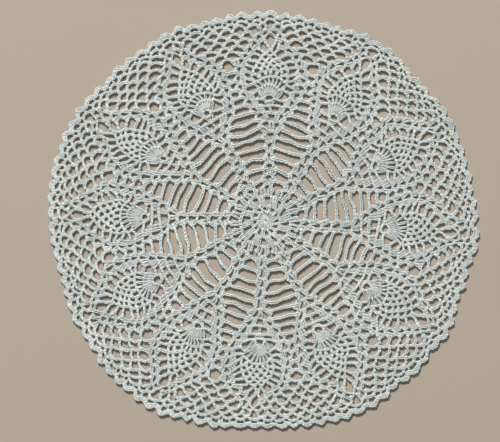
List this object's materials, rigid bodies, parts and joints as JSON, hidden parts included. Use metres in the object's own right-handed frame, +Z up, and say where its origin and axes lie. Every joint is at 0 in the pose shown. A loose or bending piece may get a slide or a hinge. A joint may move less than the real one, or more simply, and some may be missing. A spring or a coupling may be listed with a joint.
{
  "type": "lace doily",
  "caption": "Round crocheted cotton lace doily with pineapple motifs, chain ladders, net fans and a scalloped edge, lying flat.",
  "frame": {"origin": "middle of the starting ring, on the underside that rests on the table", "axes": "+Z up, out of the right side of the fabric; X and Y lie in the plane of the doily, and the first pineapple spoke lies 27 degrees anticlockwise from +X"},
  "size_m": [0.2865, 0.2778, 0.0016],
  "materials": {
    "cotton_thread": "matt twisted cotton crochet thread, washed and pressed flat, pale grey with a hint of green"
  },
  "bodies": {
    "root": {"doily": "cotton_thread"}
  },
  "joints": []
}
